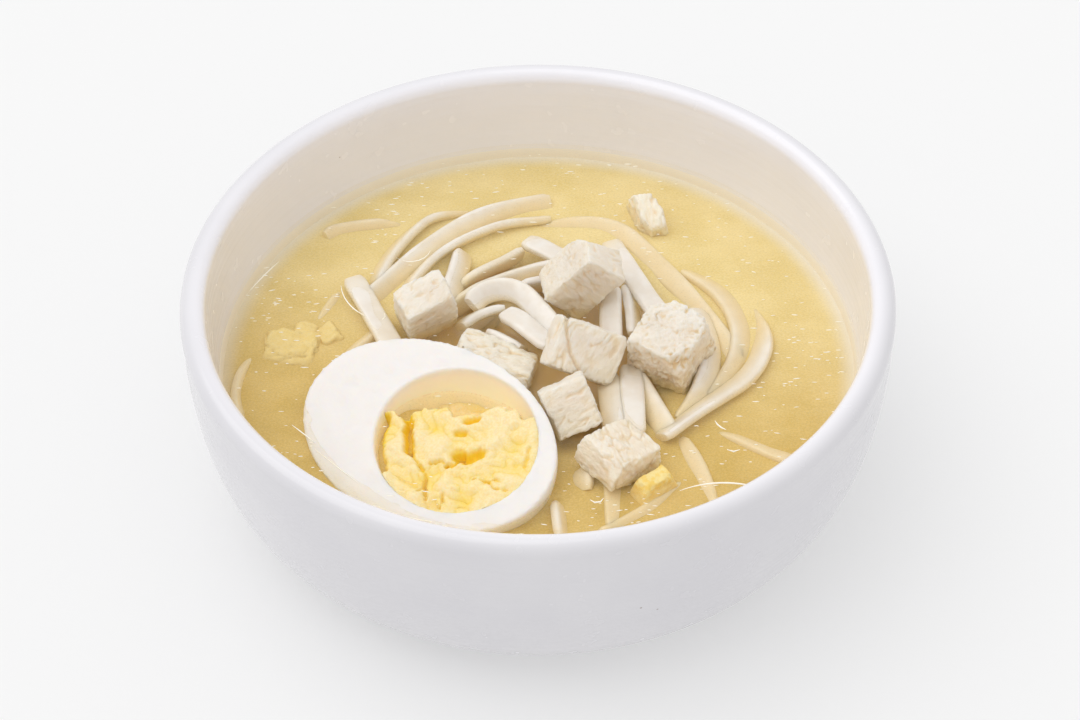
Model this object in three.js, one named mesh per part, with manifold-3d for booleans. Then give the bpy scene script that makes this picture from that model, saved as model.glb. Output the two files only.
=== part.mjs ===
// A bowl of chicken noodle soup: a round stoneware bowl of golden broth with a heap of flat
// wheat noodles, chunks of boiled chicken breast, half a boiled egg and a crumb of its yolk.
//
// Millimetres, +Z up. The origin is the middle of the foot ring, on the table. The egg lies at
// the front left: +X is to the right of the bowl and +Y to its back.

import * as THREE from 'three';
import { mergeVertices } from 'three/addons/utils/BufferGeometryUtils.js';
import Module from 'manifold-3d';

// The bowl
const BOWL_HEIGHT = 50;
const RIM_RADIUS = 75;
const WALL = 5.3;
const BELLY_HEIGHT = 2; // the belly ends this far above the table, on the foot ring
const FOOT_RADIUS = 37.5;
const FOOT_WIDTH = 5;
const FOOT_RECESS = 1.4;
const FLOOR_HEIGHT = 9.4;
const FLOOR_RADIUS = 26;
const GROOVE_BELOW_RIM = 7.5;
const GROOVE_DEPTH = 0.35;
const GROOVE_WIDTH = 1.8;
const BOWL_SEGMENTS = 56;

// The broth and the space that touching pieces keep
const BROTH_LEVEL = 29.2;
const GAP = 0.3;

// The egg: its cut face is turned about the upright, then leans to the front left
const EGG = { at: [-23, -26.6, 31.5], turn: -40, lean: 12, length: 60, width: 43.4 };
const YOLK = { at: [5.9, 2], turn: -19, size: [36.8, 33.5, 34], below: 0.6, edge: 7.2 };

// The noodles: flat strips of one thickness
const NOODLE_THICKNESS = 2.2;
const HEAP_RADIUS = 35;
const HEAP_AT = [0, 4];
const HEAP_BASE = 10;
const HEAP_CROWN = 1.3; // the middle of the heap's body stands this far out of the broth

const DEGREE = Math.PI / 180;
const wasm = await Module();
wasm.setup();

// ---------------------------------------------------------------- solids and meshes

// A closed three.js geometry as a solid that can be joined and cut.
function solid(geometry) {
  const bare = new THREE.BufferGeometry();
  bare.setAttribute('position', geometry.getAttribute('position'));
  bare.setIndex(geometry.index);
  const merged = mergeVertices(bare, 1e-4);
  const shape = new wasm.Mesh({
    numProp: 3,
    vertProperties: new Float32Array(merged.attributes.position.array),
    triVerts: new Uint32Array(merged.index.array),
  });
  return new wasm.Manifold(shape);
}

// A solid as a named mesh with its own material.
function piece(name, body, material) {
  const shape = body.getMesh();
  const geometry = new THREE.BufferGeometry();
  geometry.setAttribute('position', new THREE.BufferAttribute(shape.vertProperties, 3));
  geometry.setIndex(new THREE.BufferAttribute(shape.triVerts, 1));
  geometry.computeVertexNormals();
  const mesh = new THREE.Mesh(geometry, material);
  mesh.name = name;
  return mesh;
}

function food(color, roughness) {
  return new THREE.MeshStandardMaterial({ color, roughness, metalness: 0 });
}

function largest(body) {
  return body.decompose().reduce((a, b) => (a.volume() > b.volume() ? a : b));
}

function without(body, cutters) {
  return cutters.reduce((left, cutter) => left.subtract(cutter), body);
}

function lathe(points) {
  return new THREE.LatheGeometry(points, BOWL_SEGMENTS).rotateX(Math.PI / 2);
}

// A smooth uneven value between -1 and 1 at a point, different for each seed.
function ripple(x, y, z, wave, seed) {
  const a = Math.sin((x * 1.3 + y * 0.7) / wave + seed * 1.7);
  const b = Math.sin((y * 1.1 - z * 0.9) / wave + seed * 2.9);
  const c = Math.sin((z * 1.2 + x * 0.6 - y * 0.4) / wave + seed * 4.3);
  return (a + b + c) / 3;
}

// Moves each point of a geometry by a function of its place.
function reshape(geometry, move) {
  const places = geometry.getAttribute('position');
  const point = new THREE.Vector3();
  for (let i = 0; i < places.count; i += 1) {
    point.fromBufferAttribute(places, i);
    move(point);
    places.setXYZ(i, point.x, point.y, point.z);
  }
  return geometry;
}

// ---------------------------------------------------------------- bowl and broth

// One side of a bowl from its top down to its base: a rounded square curve, swept round later.
function sideCurve(topRadius, baseRadius, top, base, squareness, steps) {
  const points = [];
  for (let i = 0; i <= steps; i += 1) {
    const t = (i / steps) * (Math.PI / 2);
    const radius = baseRadius + (topRadius - baseRadius) * Math.cos(t) ** (2 / squareness[0]);
    const height = top - (top - base) * Math.sin(t) ** (2 / squareness[1]);
    points.push(new THREE.Vector2(radius, height));
  }
  return points;
}

const BEAD = WALL / 2;
const BEAD_HEIGHT = BOWL_HEIGHT - BEAD;

function innerCurve(clearance) {
  const rim = RIM_RADIUS - WALL - clearance;
  return sideCurve(rim, FLOOR_RADIUS, BEAD_HEIGHT, FLOOR_HEIGHT + clearance, [5, 3], 8);
}

function bowl() {
  const points = [
    new THREE.Vector2(0, FOOT_RECESS),
    new THREE.Vector2(FOOT_RADIUS - FOOT_WIDTH - 0.6, FOOT_RECESS),
    new THREE.Vector2(FOOT_RADIUS - FOOT_WIDTH, 0),
    new THREE.Vector2(FOOT_RADIUS - 0.5, 0),
  ];
  const outside = sideCurve(RIM_RADIUS, FOOT_RADIUS, BEAD_HEIGHT, BELLY_HEIGHT, [4.5, 2.7], 11);
  for (const point of outside) {
    const fromGroove = (BOWL_HEIGHT - GROOVE_BELOW_RIM - point.y) / GROOVE_WIDTH;
    point.x -= GROOVE_DEPTH * Math.exp(-fromGroove * fromGroove);
  }
  points.push(...outside.reverse());
  for (let i = 1; i < 6; i += 1) {
    const turn = (i / 6) * Math.PI;
    const radius = RIM_RADIUS - BEAD + BEAD * Math.cos(turn);
    points.push(new THREE.Vector2(radius, BEAD_HEIGHT + BEAD * Math.sin(turn)));
  }
  points.push(...innerCurve(0));
  points.push(new THREE.Vector2(0, FLOOR_HEIGHT));
  return solid(lathe(points));
}

function filling() {
  const points = innerCurve(GAP).reverse();
  points.unshift(new THREE.Vector2(0, FLOOR_HEIGHT + GAP));
  points.push(new THREE.Vector2(0, BEAD_HEIGHT));
  return solid(lathe(points)).trimByPlane([0, 0, -1], -BROTH_LEVEL);
}

// ---------------------------------------------------------------- egg

function eggPlace() {
  const turn = new THREE.Euler(EGG.lean * DEGREE, 0, EGG.turn * DEGREE, 'ZYX');
  const place = new THREE.Matrix4().makeRotationFromEuler(turn);
  return place.setPosition(...EGG.at);
}

function placed(body, matrix) {
  return body.transform(matrix.elements.slice());
}

function ball(size, clearance, segments) {
  const geometry = new THREE.SphereGeometry(1, segments, segments / 2).rotateZ(Math.PI / 2);
  return solid(geometry.scale(...size.map((side) => side / 2 + clearance)));
}

// Half an egg, its cut face up at height zero.
function halfEgg(clearance) {
  const body = ball([EGG.length, EGG.width, EGG.width], clearance, 36);
  return body.trimByPlane([0, 0, -1], -clearance);
}

function yolkBall(clearance) {
  const turned = ball(YOLK.size, clearance, 28).rotate([0, 0, YOLK.turn]);
  return turned.translate([...YOLK.at, 0]);
}

// Height of the broken yolk over the egg's cut face: knobbly, with a crack, a pit and a step
// where its back third has fallen out.
function yolkHeight(x, y) {
  const pit = Math.exp(-(((x - 9.5) / 3) ** 2) - ((y - 0.3) / 2) ** 2);
  const nook = Math.exp(-(((x - 4.4) / 1.7) ** 2) - ((y - 6) / 1.7) ** 2);
  const crackAt = -7.5 - 0.75 * x + 0.8 * Math.sin(x * 0.9);
  const crack = Math.exp(-(((y - crackAt) / 1) ** 2)) * (x > -8 ? 1 : 0);
  const lump = 0.55 * ripple(x, y, 0, 1.9, 3) + 0.3 * ripple(x, y, 0, 0.9, 7);
  const past = y - 0.62 * x - YOLK.edge + 1.4 * Math.sin(x * 0.55) + 0.6 * Math.sin(x * 1.4);
  const step = THREE.MathUtils.smoothstep(past, -0.4, 2.2);
  return -YOLK.below + lump - 3 * pit - 1.6 * nook - 1.3 * crack - 8 * step;
}

function brokenYolk() {
  const reach = 20;
  const depth = 24;
  const block = new THREE.BoxGeometry(2 * reach, 2 * reach, depth, 20, 20, 1);
  block.translate(...YOLK.at, -depth / 2);
  reshape(block, (point) => {
    if (point.z > -depth / 2) point.z = Math.min(-0.1, yolkHeight(point.x, point.y));
  });
  return largest(yolkBall(-GAP).intersect(solid(block)));
}

// ---------------------------------------------------------------- chicken

// Chunks of chicken breast: middle, width by depth by height, turns about Z, Y and X, how much
// the top narrows, and the knife cuts that take a corner off: direction and distance kept.
const CHICKEN = [
  { at: [-24.5, 10.2, 32.6], size: [12.4, 8.4, 12.5], turn: [27, -11, 16], taper: 0.04, cuts: [] },
  {
    at: [-9.6, -4.4, 29.6], size: [18.6, 13, 6.2], turn: [-16, 14, -19], taper: 0.08,
    cuts: [[[-0.8, -0.6, 0.2], 8.4]],
  },
  {
    at: [9.7, 17.1, 35.4], size: [16.2, 10.2, 10.8], turn: [1, -49, 5], taper: 0.02,
    cuts: [[[0.72, 0.66, 0.2], 7.2]],
  },
  {
    at: [9.8, -5.4, 34.2], size: [16.4, 11.6, 6.6], turn: [-1, 25, 50], taper: 0.05,
    cuts: [[[0.8, -0.6, 0], 8.4], [[0.75, 0.66, 0], 8.8]],
  },
  { at: [6.6, -19.6, 31.6], size: [10.6, 11.6, 8.6], turn: [19, -15, 46], taper: 0.04, cuts: [] },
  {
    at: [16.6, -32.2, 30.6], size: [14.2, 12.4, 6.8], turn: [40, 12, 4], taper: 0.1,
    cuts: [[[-0.7, -0.3, 0.64], 6.3]],
  },
  {
    at: [28.2, -3.4, 34], size: [15, 14.6, 13], turn: [-32, 5, 16], taper: 0.1,
    cuts: [[[-0.6, 0.7, 0.3], 8.2], [[0.7, -0.5, 0.5], 8.4], [[0.8, 0.6, 0.2], 8.6]],
  },
  { at: [25.6, 44.4, 27.6], size: [6.4, 12.6, 7.4], turn: [14, 0, 18], taper: 0.3, cuts: [] },
];

function chunk(record, seed, clearance) {
  const { size, turn, taper, cuts } = record;
  const block = new THREE.BoxGeometry(2, 2, 2, 4, 4, 3);
  reshape(block, (p) => {
    const { x, y, z } = p;
    const edges = x * x * y * y + y * y * z * z + z * z * x * x;
    const pull = 1 - 0.055 * edges;
    const narrow = 1 - taper * (z + 1) / 2;
    const rough = 0.35 * ripple(x * size[0], y * size[1], z * size[2], 3.1, seed);
    p.set(
      x * (pull * narrow * size[0] / 2 + rough),
      y * (pull * narrow * size[1] / 2 + rough),
      z * (pull * size[2] / 2 + rough),
    );
    p.multiplyScalar(1 + 2 * clearance / Math.min(...size));
  });
  let body = solid(block);
  for (const [direction, keep] of cuts) {
    const away = new THREE.Vector3(...direction).normalize().negate();
    body = body.trimByPlane(away.toArray(), -keep - clearance);
  }
  const angles = new THREE.Euler(turn[2] * DEGREE, turn[1] * DEGREE, turn[0] * DEGREE, 'ZYX');
  const place = new THREE.Matrix4().makeRotationFromEuler(angles).setPosition(...record.at);
  return placed(body, place);
}

// ---------------------------------------------------------------- noodles

// Each noodle starts at a place and a heading and bends along legs of a length and a turn in
// degrees. rise is how far its middle line stands over the broth at its two ends.
const NOODLES = [
  { from: [-36.2, 23.8], heading: 80, legs: [[21, -30], [14, -45]], rise: [0.2, -0.5],
    width: 2.8 },
  { from: [-37, 18.8], heading: 54, legs: [[23, -6], [26, -42]], rise: [0.4, -0.4], width: 3.2 },
  { from: [-29.2, 23], heading: 63, legs: [[37, -52]], rise: [0.4, -0.4], width: 2.8 },
  { from: [-41.3, 24.2], heading: -67, legs: [[25, 2]], rise: [0.6, 1], width: 5 },
  { from: [-16.8, 33.2], heading: -98, legs: [[16, -6]], rise: [0.6, 1.2], width: 4.2 },
  { from: [-3.6, 33.9], heading: -142, legs: [[20, 0]], rise: [0.6, 0.2], width: 2.4 },
  { from: [4, 27.6], heading: -166, legs: [[26, 24]], rise: [1, 0.6], width: 2.6 },
  { from: [-14.6, 14.2], heading: 72, legs: [[15, -128], [14, -8]], rise: [2.4, 3], width: 4 },
  { from: [-17, 9], heading: 48, legs: [[11, -36]], rise: [1.4, 1.4], width: 3.6 },
  { from: [-7, 11.8], heading: -52, legs: [[15, 4]], rise: [2.2, 2.8], width: 5.2 },
  { from: [-2.4, 36.2], heading: -40, legs: [[15, 4]], rise: [0.6, 1.4], width: 4.4 },
  { from: [0, 40.8], heading: 26, legs: [[14, -38], [9, -42], [45, -14]], rise: [-0.2, 0.7],
    width: 4.6 },
  { from: [30.5, 30], heading: -36, legs: [[8, -6], [28, -64], [10, -10]], rise: [-0.2, 0.5],
    width: 3.2 },
  { from: [51, 12], heading: -86, legs: [[10, -16], [14, -34], [24, -4]], rise: [0, 1],
    width: 5.2 },
  { from: [16.6, 36], heading: -76, legs: [[14, 10], [14, -4]], rise: [1, 2.4], width: 5.2 },
  { from: [16.2, 19], heading: -93, legs: [[18, 4]], rise: [2.2, 2.4], width: 4.6 },
  { from: [20, 20], heading: -82, legs: [[15, -8]], rise: [1.6, 1.8], width: 3.6 },
  { from: [15, -9], heading: -91, legs: [[15, 4]], rise: [1.2, 1.2], width: 4.8 },
  { from: [20, -7], heading: -92, legs: [[17, 0]], rise: [1.6, 1.4], width: 4.8 },
  { from: [21, -10], heading: -76, legs: [[15, 6]], rise: [0.9, 0.9], width: 3.6 },
  { from: [34.5, 13], heading: -66, legs: [[30, -58]], rise: [1, 0.8], width: 4.6 },
];

// The middle line of a noodle, with level frames so that the strip lies flat.
class NoodlePath extends THREE.Curve {
  constructor(record) {
    super();
    this.record = record;
    this.total = record.legs.reduce((sum, [length]) => sum + length, 0);
  }

  // Place on the plan and heading after some part of the length.
  walk(part) {
    const { from, heading, legs } = this.record;
    let [x, y] = from;
    let angle = heading * DEGREE;
    let left = part * this.total;
    for (const [length, turn] of legs) {
      const run = Math.min(left, length);
      const bend = (turn * DEGREE * run) / length;
      const chord = Math.abs(bend) < 1e-6 ? run : (run * Math.sin(bend / 2)) / (bend / 2);
      x += chord * Math.cos(angle + bend / 2);
      y += chord * Math.sin(angle + bend / 2);
      angle += bend;
      left -= run;
    }
    return { x, y, angle };
  }

  getPoint(part, target = new THREE.Vector3()) {
    const { x, y } = this.walk(part);
    const [first, last] = this.record.rise;
    return target.set(x, y, BROTH_LEVEL + first + (last - first) * part);
  }

  getPointAt(part, target) {
    return this.getPoint(part, target);
  }

  computeFrenetFrames(steps) {
    const frames = { tangents: [], normals: [], binormals: [] };
    for (let i = 0; i <= steps; i += 1) {
      const { angle } = this.walk(i / steps);
      frames.tangents.push(new THREE.Vector3(Math.cos(angle), Math.sin(angle), 0));
      frames.normals.push(new THREE.Vector3(-Math.sin(angle), Math.cos(angle), 0));
      frames.binormals.push(new THREE.Vector3(0, 0, 1));
    }
    return frames;
  }
}

// A flat oblong with its corners taken off.
function noodleSection(width, thickness) {
  const section = new THREE.Shape();
  const half = [width / 2, thickness / 2];
  const corner = 0.3 * thickness;
  section.moveTo(half[0], -half[1] + corner);
  section.lineTo(half[0], half[1] - corner);
  section.lineTo(half[0] - corner, half[1]);
  section.lineTo(-half[0] + corner, half[1]);
  section.lineTo(-half[0], half[1] - corner);
  section.lineTo(-half[0], -half[1] + corner);
  section.lineTo(-half[0] + corner, -half[1]);
  section.lineTo(half[0] - corner, -half[1]);
  return section;
}

function noodle(record) {
  const path = new NoodlePath(record);
  const steps = Math.max(3, Math.round(path.total / 5));
  const section = noodleSection(record.width, NOODLE_THICKNESS);
  const strip = new THREE.ExtrudeGeometry(section, { steps, extrudePath: path });
  return solid(strip);
}

// The body of the heap: a low flat-topped mound with an uneven outline, on the bowl's floor.
function heapCore(clearance) {
  const base = HEAP_BASE - clearance;
  const crown = BROTH_LEVEL + HEAP_CROWN + clearance;
  const profile = [[0, base], [0.8, base], [1, base + 5], [1, BROTH_LEVEL - 1]];
  profile.push([0.97, BROTH_LEVEL + 0.4 + clearance], [0.6, crown - 0.3], [0, crown]);
  const points = profile.map(([radius, height]) => new THREE.Vector2(radius, height));
  const mound = new THREE.LatheGeometry(points, 32).rotateX(Math.PI / 2);
  reshape(mound, (p) => {
    const around = Math.atan2(p.y, p.x);
    const outline = HEAP_RADIUS + 2.2 * Math.cos(2 * around) + 1.1 * Math.cos(5 * around + 1);
    p.x *= outline + clearance;
    p.y *= outline + clearance;
  });
  return solid(mound).translate([...HEAP_AT, 0]);
}

function heap(toppings) {
  const strips = wasm.Manifold.union(NOODLES.map(noodle));
  const shown = strips.trimByPlane([0, 0, 1], BROTH_LEVEL + GAP);
  return largest(without(heapCore(0).add(shown), toppings));
}

// ---------------------------------------------------------------- the whole

const CRUMB = {
  at: [23.6, -38.8, 28.4], size: [10, 5.4, 4.6], turn: [38, 0, 0], taper: 0.35, cuts: [],
};

const eggMatrix = eggPlace();
const eggSpace = placed(halfEgg(GAP), eggMatrix);
const chunkSpaces = CHICKEN.map((record, i) => chunk(record, i + 1, GAP));
const crumbSpace = chunk(CRUMB, 20, GAP);

const soup = new THREE.Group();

soup.add(piece('bowl', bowl(), food(0xe9e4df, 0.25)));

const spaces = [heapCore(GAP), eggSpace, crumbSpace, ...chunkSpaces];
soup.add(piece('broth', largest(without(filling(), spaces)), food(0xd9b65c, 0.1)));

const white = placed(halfEgg(0).subtract(yolkBall(0)), eggMatrix);
soup.add(piece('egg_white', white, food(0xf4f1ec, 0.35)));
soup.add(piece('egg_yolk', placed(brokenYolk(), eggMatrix), food(0xf6cf6a, 0.8)));

CHICKEN.forEach((record, i) => {
  const others = [eggSpace, ...chunkSpaces.slice(0, i)];
  const body = largest(without(chunk(record, i + 1, 0), others));
  soup.add(piece(`chicken_${i + 1}`, body, food(0xe9dccb, 0.6)));
});

const crumb = largest(without(chunk(CRUMB, 20, 0), chunkSpaces));
soup.add(piece('yolk_crumb', crumb, food(0xf2c54e, 0.8)));

const toppings = [eggSpace, crumbSpace, ...chunkSpaces];
soup.add(piece('noodles', heap(toppings), food(0xece2d2, 0.4)));

export default soup;
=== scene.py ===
# %% [markdown]
# # Chicken noodle soup in its bowl
#
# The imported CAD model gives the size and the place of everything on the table: a stoneware
# bowl, its broth, a heap of noodles, half a boiled egg, eight chunks of chicken and a crumb
# of yolk. This lesson dresses each of those solids as the real thing. Shapes are made in
# millimetres and scaled to metres at the end.

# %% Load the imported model
import math
import random

import bmesh
import bpy
from mathutils import Matrix, Vector, noise
from mathutils.bvhtree import BVHTree


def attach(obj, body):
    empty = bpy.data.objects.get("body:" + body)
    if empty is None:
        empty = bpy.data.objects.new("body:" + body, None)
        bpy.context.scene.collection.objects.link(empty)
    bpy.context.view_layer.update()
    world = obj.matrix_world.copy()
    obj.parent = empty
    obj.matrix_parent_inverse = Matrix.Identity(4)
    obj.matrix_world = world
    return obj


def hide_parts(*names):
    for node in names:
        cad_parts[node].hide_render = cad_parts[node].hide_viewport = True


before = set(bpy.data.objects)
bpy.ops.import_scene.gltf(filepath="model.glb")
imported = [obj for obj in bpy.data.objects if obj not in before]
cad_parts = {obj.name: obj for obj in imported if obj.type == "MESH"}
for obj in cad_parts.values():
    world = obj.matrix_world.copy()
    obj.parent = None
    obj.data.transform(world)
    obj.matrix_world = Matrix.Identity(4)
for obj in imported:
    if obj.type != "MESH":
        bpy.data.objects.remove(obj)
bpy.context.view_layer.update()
scene = bpy.context.scene
print("nodes:", ", ".join(sorted(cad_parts)))

# %% [markdown]
# ## Measures
#
# These are the numbers that the bowl was designed with. The broth's level matters most: all
# the food is dry and crisp above it, and fades into gold below it. From CLOUD down the broth
# itself is cloudy.

# %% The measures that several pieces share
MM = 0.001
BOWL_HEIGHT = 50
RIM_RADIUS = 75
WALL = 5.3
FOOT_RADIUS = 37.5
FOOT_WIDTH = 5
FLOOR_HEIGHT = 9.4
FLOOR_RADIUS = 26
LEVEL = 29.2
CLOUD = LEVEL - 2.6
BEAD = WALL / 2
BEAD_HEIGHT = BOWL_HEIGHT - BEAD
print("the broth stands", round(BOWL_HEIGHT - LEVEL, 1), "mm under the rim")

# %% [markdown]
# ## Camera
#
# A dish is mostly seen from a chair: from above at a slant. A Track To constraint could aim
# the camera, but a plain matrix fixes it for good. A long lens from about half a metre away,
# looking down at 44.5 degrees, shows the whole bowl with little perspective. The last small
# turn about the lens axis levels the rim.

# %% The camera
LENS = 80
PITCH = 0.7771
ROLL = 0.0079
camera = bpy.data.objects.new("camera", bpy.data.cameras.new("camera"))
camera.data.lens = LENS
camera.data.sensor_width = 36
camera.data.clip_start = 0.01
place = Matrix.Translation((0.36 * MM, -370.95 * MM, 390.95 * MM))
tilt = Matrix.Rotation(math.pi / 2 - PITCH, 4, "X")
camera.matrix_world = place @ tilt @ Matrix.Rotation(-ROLL, 4, "Z")
scene.collection.objects.link(camera)
scene.camera = camera
scene.view_settings.view_transform = "Standard"
print("camera looks down at", round(math.degrees(PITCH), 1), "degrees")

# %% [markdown]
# ## Shader maths in plain Python
#
# A finish on a real thing is colour, gloss and fine relief at once. In Blender it is a graph
# of nodes, which could be drawn by hand in the editor or added by one long call after
# another. Both are hard to read later, so two small classes help. A Wire is the output of
# some node, and signs such as + and * between wires add the Math nodes. Each sign also has
# its reflected form, so that 1 - mask works with the number first. A Finish is one material;
# its node method adds any other node.


# %% A wire, which can be added and multiplied
class Wire:
    """The output of a node. Python's signs on it add Math nodes to its material."""

    def __init__(self, finish, socket):
        self.finish = finish
        self.socket = socket

    def math(self, operation, first, second):
        settings = {"operation": operation}
        return self.finish.node("ShaderNodeMath", settings, {0: first, 1: second})

    def __add__(self, other):
        return self.math("ADD", self, other)

    def __sub__(self, other):
        return self.math("SUBTRACT", self, other)

    def __rsub__(self, other):
        return self.math("SUBTRACT", other, self)

    def __mul__(self, other):
        return self.math("MULTIPLY", self, other)

    def __rpow__(self, other):
        return self.math("POWER", other, self)

    __radd__ = __add__
    __rmul__ = __mul__

    def at_least(self, other):
        return self.math("MAXIMUM", self, other)

    def between(self, low, high):
        """0 below low, 1 above high, and a smooth slope between them."""
        span = {"Value": self, "From Min": low, "From Max": high}
        settings = {"interpolation_type": "SMOOTHSTEP"}
        return self.finish.node("ShaderNodeMapRange", settings, span)


print("wires know + - * and **, at_least and between")


# %% A finish, which is one material
class Finish:
    """One material, with its nodes added one by one."""

    def __init__(self, name):
        self.material = bpy.data.materials.new(name)
        self.material.use_nodes = True
        self.tree = self.material.node_tree
        self.tree.nodes.clear()

    def node(self, kind, settings=None, sockets=None, output=0):
        """Adds a node: its settings are set first, then the values or wires of its sockets."""
        node = self.tree.nodes.new(kind)
        for name, value in (settings or {}).items():
            setattr(node, name, value)
        for key, value in (sockets or {}).items():
            if isinstance(value, Wire):
                self.tree.links.new(value.socket, node.inputs[key])
            else:
                node.inputs[key].default_value = value
        return Wire(self, node.outputs[output]) if len(node.outputs) else None

    def place(self, turn=(0, 0, 0), stretch=(1, 1, 1)):
        """Object coordinates in millimetres: X lies along turn, and stretch lengthens."""
        here = self.node("ShaderNodeTexCoord", output=3)
        scale = [MM * side for side in stretch]
        sockets = {"Vector": here, "Rotation": turn, "Scale": scale}
        return self.node("ShaderNodeMapping", {"vector_type": "TEXTURE"}, sockets)

    def along(self, axis):
        """The point's place along X, Y or Z (0, 1 or 2) in millimetres."""
        return self.node("ShaderNodeSeparateXYZ", sockets={0: self.place()}, output=axis)

    def from_axis(self):
        """The point's distance from the bowl's axis in millimetres."""
        sockets = {0: self.place(), 1: (1, 1, 0)}
        flat = self.node("ShaderNodeVectorMath", {"operation": "MULTIPLY"}, sockets)
        return self.node("ShaderNodeVectorMath", {"operation": "LENGTH"}, {0: flat}, output=1)

    def grain(self, size, detail=2.0, turn=(0, 0, 0), stretch=(1, 1, 1)):
        """Soft noise between 0 and 1 whose spots are about size millimetres wide."""
        sockets = {"Vector": self.place(turn, stretch), "Scale": 1 / size, "Detail": detail}
        return self.node("ShaderNodeTexNoise", sockets=sockets)

    def attribute(self, name):
        return self.node("ShaderNodeAttribute", {"attribute_name": name}, output=2)

    def blend(self, factor, first, second):
        """A colour between two colours."""
        sockets = {0: factor, 6: first, 7: second}
        return self.node("ShaderNodeMix", {"data_type": "RGBA"}, sockets, output=2)

    def bump(self, height, distance):
        """A normal from a height between 0 and 1, where 1 stands distance millimetres out."""
        sockets = {"Height": height, "Distance": distance * MM, "Strength": 1.0}
        return self.node("ShaderNodeBump", sockets=sockets)

    def body(self, **values):
        """The Principled shader. Names are socket names with _ for a space."""
        sockets = {name.replace("_", " "): value for name, value in values.items()}
        return self.node("ShaderNodeBsdfPrincipled", sockets=sockets)

    def done(self, shader):
        self.node("ShaderNodeOutputMaterial", sockets={"Surface": shader})
        print("finish:", self.material.name)
        return self.material


# %% [markdown]
# ## Floor and light
#
# The bowl stands on a seamless pale table that glows a little, as a lit backdrop does, so
# its shadow stays pale. A plain white sky gives light from everywhere, and one very soft sun
# high on the left gives the shadow side its shape. An area lamp would be as soft, but it
# fades with distance, and a sun lights a wide floor evenly.

# %% The table
table = Finish("pale_table")
table_shader = table.body(
    Base_Color=(0.54, 0.54, 0.54, 1), Roughness=0.9,
    Emission_Color=(1, 1, 1, 1), Emission_Strength=0.35,
)
table_material = table.done(table_shader)
floor_shape = bmesh.new()
bmesh.ops.create_grid(floor_shape, x_segments=4, y_segments=4, size=3.0)
floor_mesh = bpy.data.meshes.new("table")
floor_shape.to_mesh(floor_mesh)
floor_shape.free()
floor_mesh.materials.append(table_material)
floor = bpy.data.objects.new("table", floor_mesh)
scene.collection.objects.link(floor)
print("table:", len(floor_mesh.polygons), "faces")

# %% Sky and sun
SKY = 0.84
SUN = 0.82
SUN_FROM = Vector((-0.42, 0.12, 0.90))
world = bpy.data.worlds.new("studio")
scene.world = world
world.use_nodes = True
world.node_tree.nodes["Background"].inputs["Color"].default_value = (1, 1, 1, 1)
world.node_tree.nodes["Background"].inputs["Strength"].default_value = SKY
sun = bpy.data.objects.new("sun", bpy.data.lights.new("sun", "SUN"))
sun.data.energy = SUN
sun.data.angle = math.radians(60)
sun.rotation_mode = "QUATERNION"
sun.rotation_quaternion = SUN_FROM.to_track_quat("Z", "Y")
scene.collection.objects.link(sun)
print("sky", SKY, "and sun", SUN)

# %% [markdown]
# ## Helpers for shapes
#
# Most pieces end in the same way: the mesh in millimetres becomes an object in metres, gets
# its finish, rides on the model's one body and stands for its CAD solid. A few shapes go
# through a modifier on the way. Remesh gives an even skin of small faces that can be pushed
# in and out, which a subdivided shape has only where its faces were even before. Boolean
# cuts one solid with another.


# %% From a bmesh to a finished piece
def as_mesh(name, shape):
    """Turns a bmesh into a mesh, and frees the bmesh."""
    mesh = bpy.data.meshes.new(name)
    shape.to_mesh(mesh)
    shape.free()
    return mesh


def add_to(shape, other):
    """Moves everything in one bmesh into another."""
    mesh = as_mesh("added", other)
    shape.from_mesh(mesh)
    bpy.data.meshes.remove(mesh)


def tidy(shape):
    bmesh.ops.recalc_face_normals(shape, faces=shape.faces)
    for face in shape.faces:
        face.smooth = True


def make_piece(name, shape, materials, node=None):
    """Makes an object from a bmesh in millimetres, and hides the CAD node it replaces."""
    bmesh.ops.scale(shape, vec=(MM, MM, MM), verts=shape.verts)
    mesh = as_mesh(name, shape)
    for material in materials:
        mesh.materials.append(material)
    made = bpy.data.objects.new(name, mesh)
    scene.collection.objects.link(made)
    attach(made, "root")
    if node:
        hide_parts(node)
    print("piece:", name, len(mesh.polygons), "faces")


# %% Modifiers, used as tools
def evaluated(data, shape, modifier=None, settings=None):
    """Adds to a bmesh what Blender makes of a mesh or curve, with a modifier if one is given."""
    work = bpy.data.objects.new("work", data)
    scene.collection.objects.link(work)
    if modifier:
        used = work.modifiers.new("work", modifier)
        for name, value in settings.items():
            setattr(used, name, value)
    graph = bpy.context.evaluated_depsgraph_get()
    shape.from_mesh(work.evaluated_get(graph).to_mesh())
    bpy.data.objects.remove(work)
    kept_in = bpy.data.meshes if isinstance(data, bpy.types.Mesh) else bpy.data.curves
    kept_in.remove(data)
    return shape


def evenly(shape, size, smoothing):
    """The same solid with an even skin of faces about size millimetres wide."""
    settings = {"mode": "VOXEL", "voxel_size": size}
    skin = evaluated(as_mesh("solid", shape), bmesh.new(), "REMESH", settings)
    for _ in range(smoothing):
        bmesh.ops.smooth_vert(
            skin, verts=skin.verts, factor=0.5, use_axis_x=True, use_axis_y=True, use_axis_z=True
        )
    return skin


def combined(shape, tool, operation):
    """One solid cut by another: DIFFERENCE takes the tool away, INTERSECT keeps its inside."""
    mesh = as_mesh("tool", tool)
    other = bpy.data.objects.new("tool", mesh)
    scene.collection.objects.link(other)
    settings = {"operation": operation, "object": other, "solver": "EXACT"}
    result = evaluated(as_mesh("solid", shape), bmesh.new(), "BOOLEAN", settings)
    bpy.data.objects.remove(other)
    bpy.data.meshes.remove(mesh)
    return result


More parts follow.
